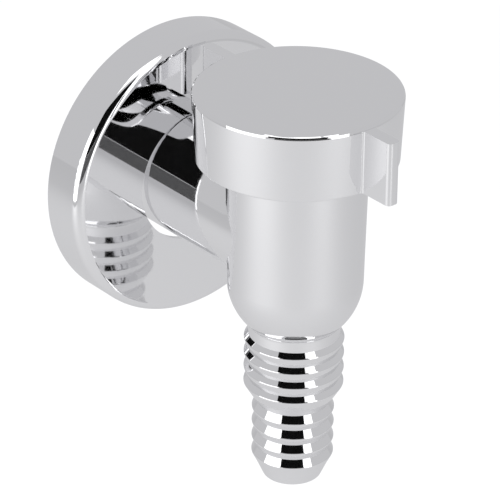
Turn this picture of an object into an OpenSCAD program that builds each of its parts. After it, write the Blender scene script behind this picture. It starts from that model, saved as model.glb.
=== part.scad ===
// Wall-mounted washing machine siphon with a winged screw cap, a stepped hose tail
// below the body and a loose round flange on the outlet tube.
// Origin: the wall plane on the outlet tube's axis. +Y goes into the wall, +Z is up.

/* [Outlet tube] */
// Outside diameter of the outlet tube
outlet_d = 32; // [28:0.5:36]
// How much the tube's radius grows from the wall to the body
outlet_draft = 0.15; // [0.05:0.05:0.4]
// Wall thickness of the outlet tube
outlet_wall = 1.8; // [1.4:0.1:2.4]
// Length of the tube that goes on behind the wall plane
spigot_length = 18; // [12:1:40]
// Bevel round the tube's open end
spigot_bevel = 0.8; // [0.3:0.1:1.2]
// Height of the overflow edge above the tube's axis
weir_height = 6; // [2:0.5:8]

/* [Body] */
// How much wider the body is than the outlet tube, on each side
body_margin = 1.0; // [0.6:0.1:3]
// How much the body's radius shrinks towards the bowl
body_draft = 0.65; // [0.2:0.05:1]
// Wall thickness of the body and its bowl
body_wall = 2.0; // [1.6:0.1:2.4]
// How far the bowl's centre lies above the outlet tube's underside
bowl_rise = 2.9; // [1:0.1:5]
// Radius of the fillet between the bowl and the hose tail
neck_fillet = 1.3; // [0.6:0.1:2]
// Gap between the outlet tube's top and the screw cap's lower edge
cap_over_outlet = 2.95; // [2:0.05:6]

/* [Collar under the cap] */
// Height of the conical shoulder below the collar
shoulder_height = 3.4; // [3:0.1:5]
// Wall thickness of the collar round the insert's seat
collar_wall = 2.0; // [1.6:0.1:2.4]
// Width of the ledge that carries the insert
ledge_width = 1.7; // [1.2:0.1:2.2]

/* [Screw cap] */
// Diameter of the cap at its top
cap_d = 49.6; // [48:0.1:54]
// Overall height of the cap
cap_height = 16.9; // [15:0.1:20]
// How much the cap's radius shrinks towards its lower edge
cap_draft = 0.7; // [0.2:0.05:1]
// Thickness of the cap's roof
cap_roof = 2.1; // [1.6:0.1:2.6]
// Thickness of the cap's skirt at its lower edge
cap_skirt = 1.8; // [1.4:0.1:2.2]
// Radius of the cap's top edge
cap_edge_r = 1.0; // [0.5:0.1:1.6]
// Radius of the cap's lower edge
cap_foot_r = 0.4; // [0.2:0.1:0.6]
// Room between the cap's bore and the collar for the thread
thread_room = 1.1; // [0.8:0.1:1.4]

/* [Grip wings] */
// How far each wing stands out from the cap
wing_reach = 9.05; // [6:0.05:12]
// Thickness of a wing
wing_thickness = 3.3; // [2.4:0.1:4]
// Radius of the wing's outer upright corners
wing_corner_r = 1.1; // [0.4:0.1:1.15]
// Radius of the fillet where a wing meets the cap
wing_root_r = 0.6; // [0.3:0.1:1.2]
// How far a wing stops short of the cap's top and of its lower edge
wing_inset = 0.65; // [0.4:0.05:2]

/* [Hose tail] */
// Crest diameter of the upper barbs
upper_barb_d = 24.2; // [22:0.1:26]
// Crest diameter of the lower barbs
lower_barb_d = 20.0; // [17:0.1:21]
// Depth of the grooves between the barbs
barb_depth = 1.0; // [0.6:0.1:1.2]
// Distance from one upper barb to the next
upper_pitch = 4.0; // [3.6:0.05:5]
// Distance from one lower barb to the next
lower_pitch = 4.1; // [3.6:0.05:5]
// Number of barbs on each of the two steps
barb_count = 4; // [2:1:6]
// Height of the steep upper side of an upper barb
upper_flank = 1.4; // [1.2:0.1:2]
// Height of the steep upper side of a lower barb
lower_flank = 2.0; // [1.2:0.1:2.4]
// Radius of a barb's rounded crest
crest_r = 0.5; // [0.3:0.05:0.6]
// Height of the plain land between the neck and the first barb
neck_land = 2.3; // [1.5:0.1:4]
// Height of the cone between the two steps
step_height = 5.2; // [4:0.1:8]
// Height of the lead-in cone at the tail's end
lead_in_height = 6.3; // [4:0.1:8]
// Outside diameter at the tail's end
tip_d = 14.6; // [14.4:0.1:16]
// Bore of the hose tail
tail_bore_d = 12; // [10:0.1:12.6]

/* [Standpipe and insert] */
// Bore of the standpipe inside the body
standpipe_bore_d = 14; // [13:0.1:14.4]
// Wall thickness of the standpipe
standpipe_wall = 1.4; // [1:0.1:1.5]
// Height of the standpipe's mouth above the overflow edge
standpipe_over_weir = 10; // [5:0.5:11]
// Radial width of the water channel between the standpipe and the insert
channel_width = 2.8; // [2.4:0.1:3]
// Wall thickness of the insert's bell
bell_wall = 1.3; // [1:0.1:1.5]
// Thickness of the insert's top plate
insert_plate = 2.0; // [1.5:0.1:3]
// How far the bell's lip hangs below the bowl's centre
lip_below_bowl_centre = 1.9; // [0:0.1:2.5]
// Clearance round the insert's plate in its seat
insert_clearance = 0.2; // [0.1:0.05:0.4]
// Thickness of the cap's gasket
gasket_thickness = 2.3; // [1.5:0.1:3]
// Radial width of the gasket
gasket_width = 5.0; // [4:0.1:6]
// Gap between the gasket and the flat faces above and below it
gasket_seat = 0.05; // [0.02:0.01:0.1]

/* [Wall flange] */
// Diameter of the flange
flange_d = 72.8; // [66:0.2:90]
// Depth of the flange, from the wall to its face
flange_depth = 11.8; // [8:0.1:16]
// Wall thickness of the flange
flange_wall = 1.6; // [1.2:0.1:2]
// Radius of the flange's front edge
flange_edge_r = 2.3; // [2.1:0.1:4]
// Radial clearance of the flange's hole on the outlet tube
flange_clearance = 0.95; // [0.4:0.05:2]
// Gap left above the tube where the flange hangs on it
flange_hang_gap = 0.2; // [0.1:0.05:0.3]
// Distance between the flange's face and the nearer wing's tip
wing_to_flange = 3.45; // [3.3:0.05:20]

/* [Hidden] */
$fn = 96;
// Overlap that carries a cut clear through a face
cut = 1;
// Overlap that joins two solids of one piece
weld = 0.5;
// Steps in the polygon of a small rounding
arc_steps = 5;

outlet_r = outlet_d / 2;
outlet_bore_r = outlet_r - outlet_wall;

cap_r = cap_d / 2;
cap_foot = outlet_r + cap_over_outlet;
cap_top = cap_foot + cap_height;
cap_ceiling = cap_top - cap_roof;
cap_bore_r = cap_r - cap_draft - cap_skirt;
wing_tip_r = cap_r + wing_reach;

wall_to_axis = flange_depth + wing_to_flange + wing_tip_r;

body_r = outlet_r + body_margin;
bowl_r = body_r - body_draft;
bowl_z = bowl_rise - outlet_r;
cavity_r = body_r - body_wall;
bowl_cavity_r = bowl_r - body_wall;

collar_r = cap_bore_r - thread_room;
seat_r = collar_r - collar_wall;
ledge_r = seat_r - ledge_width;
rim_z = cap_ceiling - gasket_thickness - 2 * gasket_seat;
ledge_z = rim_z - insert_plate;
shoulder_z = cap_foot + 1.6;
collar_z = shoulder_z + shoulder_height;

upper_root_r = upper_barb_d / 2 - barb_depth;
lower_root_r = lower_barb_d / 2 - barb_depth;
// The neck fillet touches the bowl and the root of the first barb
neck_r = upper_root_r + neck_fillet;
neck_z = bowl_z - sqrt(pow(bowl_r + neck_fillet, 2) - pow(neck_r, 2));
neck_angle = atan2(bowl_z - neck_z, -neck_r);
first_upper_z = neck_z - neck_land - upper_flank;
step_z = first_upper_z - (barb_count - 1) * upper_pitch - step_height;
first_lower_z = step_z - lower_flank;
last_lower_z = first_lower_z - (barb_count - 1) * lower_pitch;
tip_z = last_lower_z - lead_in_height;
tip_round = 0.5;

standpipe_bore_r = standpipe_bore_d / 2;
standpipe_r = standpipe_bore_r + standpipe_wall;
standpipe_top = weir_height + standpipe_over_weir;
bell_bore_r = standpipe_r + channel_width;
bell_r = bell_bore_r + bell_wall;
lip_z = bowl_z - lip_below_bowl_centre;

flange_r = flange_d / 2;
// The hole clears the tube where the tube is widest under the flange
outlet_r_at_flange = outlet_r + outlet_draft * (flange_depth + wing_to_flange) / wall_to_axis;
flange_hole_r = outlet_r_at_flange + flange_clearance;
flange_drop = flange_clearance - flange_hang_gap;

// Points along an arc from angle a to angle b
function arc(centre, r, a, b, steps) =
    [for (i = [0:steps]) let (t = a + (b - a) * i / steps) centre + r * [cos(t), sin(t)]];

// Slope of a barb's side as the angle of its outward normal
function flank_tilt(flank) = atan2(barb_depth, flank);

// One barb, from the groove above it round its crest
function barb(crest, z, flank, ramp) = concat(
    [[crest - barb_depth, z + flank]],
    arc([crest - crest_r, z], crest_r, flank_tilt(flank), -atan2(barb_depth, ramp), arc_steps));

// A row of barbs going down from height z
function barb_row(crest, z, pitch, flank) =
    [for (i = [0:barb_count - 1]) each barb(crest, z - i * pitch, flank, pitch - flank)];

function tail_outline() = concat(
    [[0, neck_z + neck_fillet]],
    arc([neck_r, neck_z], neck_fillet, neck_angle, 180, arc_steps),
    barb_row(upper_barb_d / 2, first_upper_z, upper_pitch, upper_flank),
    barb_row(lower_barb_d / 2, first_lower_z, lower_pitch, lower_flank),
    [[lower_root_r, last_lower_z - (lower_pitch - lower_flank)]],
    arc([tip_d / 2 - tip_round, tip_z + tip_round], tip_round, -20, -90, arc_steps),
    [[0, tip_z]]);

// Carries a shape from the trap's upright axis to its place before the wall
module at_upright_axis() {
    translate([0, -wall_to_axis, 0])
        children();
}

// Lays a shape along the outlet tube's axis, its height running out of the wall
module from_wall() {
    rotate([90, 0, 0])
        children();
}

module body_upright() {
    translate([0, 0, bowl_z])
        cylinder(h = shoulder_z + weld - bowl_z, r1 = bowl_r, r2 = body_r);
    translate([0, 0, bowl_z])
        sphere(r = bowl_r);
}

module collar() {
    rotate_extrude()
        polygon([
            [0, shoulder_z],
            [body_r, shoulder_z],
            [collar_r, collar_z],
            [collar_r, rim_z],
            [0, rim_z]]);
}

module body_cavity() {
    rotate_extrude()
        polygon([
            [0, bowl_z],
            [bowl_cavity_r, bowl_z],
            [cavity_r, shoulder_z],
            [ledge_r, collar_z],
            [ledge_r, ledge_z],
            [seat_r, ledge_z],
            [seat_r, rim_z + cut],
            [0, rim_z + cut]]);
    translate([0, 0, bowl_z])
        sphere(r = bowl_cavity_r);
}

// A true cylinder behind the wall plane, drafted from there to the body
module outlet_outer() {
    from_wall()
        rotate_extrude()
            polygon([
                [0, -spigot_length],
                [outlet_r - spigot_bevel, -spigot_length],
                [outlet_r, spigot_bevel - spigot_length],
                [outlet_r, 0],
                [outlet_r + outlet_draft, wall_to_axis],
                [0, wall_to_axis]]);
}

// The tube's bore, stopped by the body's wall up to the overflow edge
module outlet_bore() {
    difference() {
        from_wall()
            translate([0, 0, -spigot_length - cut])
                cylinder(h = wall_to_axis + spigot_length + cut, r = outlet_bore_r);
        intersection() {
            at_upright_axis()
                body_upright();
            translate([-body_r, -wall_to_axis - cut, -body_r])
                cube([2 * body_r, body_r + 2 * cut, body_r + weir_height]);
        }
    }
}

module hose_tail() {
    rotate_extrude()
        polygon(tail_outline());
}

module standpipe() {
    translate([0, 0, neck_z])
        cylinder(h = standpipe_top - neck_z, r = standpipe_r);
}

module tail_bore() {
    rotate_extrude()
        polygon([
            [0, tip_z - cut],
            [tail_bore_d / 2, tip_z - cut],
            [tail_bore_d / 2, step_z],
            [standpipe_bore_r, step_z + step_height],
            [standpipe_bore_r, standpipe_top + cut],
            [0, standpipe_top + cut]]);
}

module body() {
    color("gainsboro")
        difference() {
            union() {
                difference() {
                    union() {
                        at_upright_axis() {
                            body_upright();
                            collar();
                            hose_tail();
                        }
                        outlet_outer();
                    }
                    at_upright_axis()
                        body_cavity();
                    outlet_bore();
                }
                at_upright_axis()
                    standpipe();
            }
            at_upright_axis()
                tail_bore();
        }
}

// Radius of the cap's slanted side at height z
function cap_side(z) = cap_r - cap_draft * (cap_top - z) / cap_height;

module cap_outline() {
    polygon(concat(
        [[cap_bore_r, cap_foot]],
        arc([cap_side(cap_foot) - cap_foot_r, cap_foot + cap_foot_r], cap_foot_r, -90, 0, arc_steps),
        arc([cap_r - cap_edge_r, cap_top - cap_edge_r], cap_edge_r, 0, 90, arc_steps),
        [[0, cap_top], [0, cap_ceiling], [cap_bore_r, cap_ceiling]]));
}

// One wing seen from above, pointing along +X
module wing_plan() {
    root = cap_r - cap_draft - cap_skirt / 2;
    straight = wing_tip_r - wing_corner_r;
    half = wing_thickness / 2;
    difference() {
        union() {
            translate([root, -half])
                square([straight - root, wing_thickness]);
            translate([root, wing_corner_r - half])
                square([wing_tip_r - root, wing_thickness - 2 * wing_corner_r]);
            for (side = [-1, 1]) {
                translate([straight, side * (half - wing_corner_r)])
                    circle(r = wing_corner_r);
            }
            translate([root, -half - wing_root_r])
                square([cap_r + wing_root_r - root, wing_thickness + 2 * wing_root_r]);
        }
        for (side = [-1, 1]) {
            translate([cap_r + wing_root_r, side * (half + wing_root_r)])
                circle(r = wing_root_r);
        }
    }
}

module wings() {
    for (turn = [90, 270]) {
        rotate([0, 0, turn])
            translate([0, 0, cap_foot + wing_inset])
                linear_extrude(height = cap_height - 2 * wing_inset)
                    wing_plan();
    }
}

module screw_cap() {
    color("gainsboro")
        at_upright_axis() {
            rotate_extrude()
                cap_outline();
            wings();
        }
}

module cap_gasket() {
    outer = seat_r + collar_wall / 2;
    color("dimgray")
        at_upright_axis()
            translate([0, 0, rim_z + gasket_seat])
                difference() {
                    cylinder(h = gasket_thickness, r = outer);
                    translate([0, 0, -cut])
                        cylinder(h = gasket_thickness + 2 * cut, r = outer - gasket_width);
                }
}

module bell_insert() {
    plate_r = seat_r - insert_clearance;
    color("white")
        at_upright_axis()
            rotate_extrude()
                polygon([
                    [0, ledge_z],
                    [bell_bore_r, ledge_z],
                    [bell_bore_r, lip_z],
                    [bell_r, lip_z],
                    [bell_r, ledge_z],
                    [plate_r, ledge_z],
                    [plate_r, rim_z],
                    [0, rim_z]]);
}

module flange_outline() {
    inner_r = flange_r - flange_wall;
    inner_edge_r = flange_edge_r - flange_wall;
    inner_depth = flange_depth - flange_wall;
    difference() {
        union() {
            square([flange_r - flange_edge_r, flange_depth]);
            square([flange_r, flange_depth - flange_edge_r]);
            translate([flange_r - flange_edge_r, flange_depth - flange_edge_r])
                circle(r = flange_edge_r);
        }
        translate([0, -cut])
            square([inner_r - inner_edge_r, inner_depth + cut]);
        translate([0, -cut])
            square([inner_r, inner_depth - inner_edge_r + cut]);
        translate([inner_r - inner_edge_r, inner_depth - inner_edge_r])
            circle(r = inner_edge_r);
        square([flange_hole_r, flange_depth + cut]);
    }
}

module wall_flange() {
    color("gainsboro")
        translate([0, 0, -flange_drop])
            from_wall()
                rotate_extrude()
                    flange_outline();
}

body();
screw_cap();
cap_gasket();
bell_insert();
wall_flange();
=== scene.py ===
# A chromium-plated siphon for a washing machine's drain hose, as it is fixed to a bathroom wall.

import math

import bpy
from mathutils import Matrix, Vector


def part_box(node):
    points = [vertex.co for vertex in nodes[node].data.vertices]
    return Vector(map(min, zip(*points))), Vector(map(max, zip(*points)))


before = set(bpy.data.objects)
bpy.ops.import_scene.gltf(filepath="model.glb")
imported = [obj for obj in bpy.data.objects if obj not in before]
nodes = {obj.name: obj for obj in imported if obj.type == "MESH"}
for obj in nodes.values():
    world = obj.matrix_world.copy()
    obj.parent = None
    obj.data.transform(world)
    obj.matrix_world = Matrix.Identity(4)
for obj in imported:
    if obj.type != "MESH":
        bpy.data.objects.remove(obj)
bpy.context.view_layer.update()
scene = bpy.context.scene


# The studio: a pale table below and a pale sweep all round, as in a light tent. Two tall soft boxes
# stand left and right of the camera, a third hangs over the front, and between them is the dark
# opening of the tent, where the camera looks in.

def linear(hex_colour):
    """An sRGB hex colour as linear values with full alpha."""
    channels = [int(hex_colour[i:i + 2], 16) / 255 for i in (1, 3, 5)]
    return [c / 12.92 if c <= 0.04045 else ((c + 0.055) / 1.055) ** 2.4 for c in channels] + [1.0]


def add_node(tree, kind, inputs=None, links=None, **settings):
    """Adds one node with its settings, its socket values and the links that come into it."""
    node = tree.nodes.new(kind)
    for name, value in settings.items():
        setattr(node, name, value)
    for socket, value in (inputs or {}).items():
        node.inputs[socket].default_value = value
    for socket, source in (links or {}).items():
        tree.links.new(source, node.inputs[socket])
    return node


def new_material(name):
    """An empty node material and its tree."""
    material = bpy.data.materials.new(name)
    material.use_nodes = True
    material.node_tree.nodes.clear()
    return material, material.node_tree


CAMERA_TURN = -39.643
CAMERA_RISE = 28.220
CAMERA_ROLL = math.radians(0.587)
CAMERA_DISTANCE = 0.800
CAMERA_ASIDE = (-0.010846, -0.005408)
FOCAL_PIXELS = 3394.24
PHOTO_PIXELS = 500
cap_low, cap_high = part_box("screw_cap")
trap_axis = (cap_low + cap_high) / 2
trap_axis.z = 0


def studio_direction(turn, rise):
    """The direction from the object towards a point at a turn from the camera and a rise over the level."""
    a = math.radians(CAMERA_TURN + turn)
    e = math.radians(rise)
    return Vector((math.sin(a) * math.cos(e), -math.cos(a) * math.cos(e), math.sin(e)))


towards_camera = studio_direction(0, CAMERA_RISE)
level = towards_camera.cross(Vector((0, 0, 1))).normalized() * -1
upright = towards_camera.cross(level)
right = math.cos(CAMERA_ROLL) * level + math.sin(CAMERA_ROLL) * upright
up = -math.sin(CAMERA_ROLL) * level + math.cos(CAMERA_ROLL) * upright
aim = trap_axis + CAMERA_ASIDE[0] * right + CAMERA_ASIDE[1] * up

bpy.ops.object.select_all(action="DESELECT")
bpy.ops.object.camera_add()
camera = bpy.context.object
camera.name = "camera"
camera.matrix_world = (Matrix.Translation(aim + CAMERA_DISTANCE * towards_camera)
                       @ Matrix((right, up, towards_camera)).transposed().to_4x4())
camera.data.sensor_width = 36
camera.data.lens = FOCAL_PIXELS / PHOTO_PIXELS * camera.data.sensor_width
camera.data.clip_start = 0.01
camera.data.clip_end = 20
scene.camera = camera
scene.view_settings.view_transform = "Standard"


def soft_box(name, turn, rise, width, height, distance, radiance):
    """A rectangular lamp that faces the object, its size given in degrees as the object sees it."""
    direction = studio_direction(turn, rise)
    bpy.ops.object.light_add(type="AREA", location=trap_axis + distance * direction)
    lamp = bpy.context.object
    lamp.name = name
    lamp.rotation_euler = direction.to_track_quat("Z", "Y").to_euler()
    lamp.data.shape = "RECTANGLE"
    lamp.data.size = 2 * distance * math.tan(math.radians(width / 2))
    lamp.data.size_y = 2 * distance * math.tan(math.radians(height / 2))
    lamp.data.energy = radiance * math.pi * lamp.data.size * lamp.data.size_y
    lamp.visible_camera = False


soft_box("soft_box_left", turn=-56, rise=6, width=46, height=48, distance=0.75, radiance=1.15)
soft_box("soft_box_right", turn=43, rise=18, width=21, height=84, distance=0.75, radiance=1.15)
soft_box("soft_box_over_front", turn=-10, rise=74, width=40, height=22, distance=0.9, radiance=1.0)

world = bpy.data.worlds.new("tent_cloth")
scene.world = world
world.use_nodes = True
tree = world.node_tree
tree.nodes.clear()
path = add_node(tree, "ShaderNodeLightPath")
cloth = add_node(tree, "ShaderNodeBackground", {"Color": linear("#C8C8CA"), "Strength": 1.0})
white = add_node(tree, "ShaderNodeBackground", {"Color": linear("#FFFFFF"), "Strength": 1.0})
seen = add_node(tree, "ShaderNodeMixShader", links={0: path.outputs["Is Camera Ray"],
                                                   1: cloth.outputs["Background"],
                                                   2: white.outputs["Background"]})
add_node(tree, "ShaderNodeOutputWorld", links={"Surface": seen.outputs["Shader"]})

# The dark opening round the camera only shows in the plated surfaces.
OPENING_DISTANCE = 1.0


def dark_card(name, turn, rise, width, height, colour):
    direction = studio_direction(turn, rise)
    bpy.ops.mesh.primitive_plane_add(size=1, location=trap_axis + OPENING_DISTANCE * direction)
    card = bpy.context.object
    card.name = name
    card.rotation_euler = direction.to_track_quat("Z", "Y").to_euler()
    card.scale = (2 * OPENING_DISTANCE * math.tan(math.radians(width / 2)),
                  2 * OPENING_DISTANCE * math.tan(math.radians(height / 2)), 1)
    card.visible_camera = False
    card.visible_diffuse = False
    material, tree = new_material(name)
    cloth = add_node(tree, "ShaderNodeBsdfDiffuse", {"Color": linear(colour)})
    add_node(tree, "ShaderNodeOutputMaterial", links={"Surface": cloth.outputs["BSDF"]})
    card.data.materials.append(material)


dark_card("tent_opening", turn=-1, rise=31, width=60, height=44, colour="#161616")
dark_card("table_edge", turn=4, rise=0, width=56, height=17, colour="#6A6A6A")

bpy.ops.mesh.primitive_plane_add(size=8, location=(0, 0, -0.3))
table = bpy.context.object
table.name = "table"
material, tree = new_material("white_table")
path = add_node(tree, "ShaderNodeLightPath")
laminate = add_node(tree, "ShaderNodeBsdfDiffuse", {"Color": linear("#F4F4F4")})
glow = add_node(tree, "ShaderNodeEmission", {"Color": linear("#FFFFFF"), "Strength": 0.45})
both = add_node(tree, "ShaderNodeAddShader", links={0: laminate.outputs["BSDF"], 1: glow.outputs["Emission"]})
seen = add_node(tree, "ShaderNodeMixShader", links={0: path.outputs["Is Camera Ray"],
                                                   1: laminate.outputs["BSDF"], 2: both.outputs["Shader"]})
add_node(tree, "ShaderNodeOutputMaterial", links={"Surface": seen.outputs["Shader"]})
table.data.materials.append(material)


chrome, tree = new_material("chrome_plate")
plate = add_node(tree, "ShaderNodeBsdfPrincipled", {"Base Color": linear("#F2F2F3"), "Metallic": 1.0,
                                                    "Roughness": 0.04})
add_node(tree, "ShaderNodeOutputMaterial", links={"Surface": plate.outputs["BSDF"]})
for name in ("body", "screw_cap", "wall_flange"):
    nodes[name].data.materials.clear()
    nodes[name].data.materials.append(chrome)
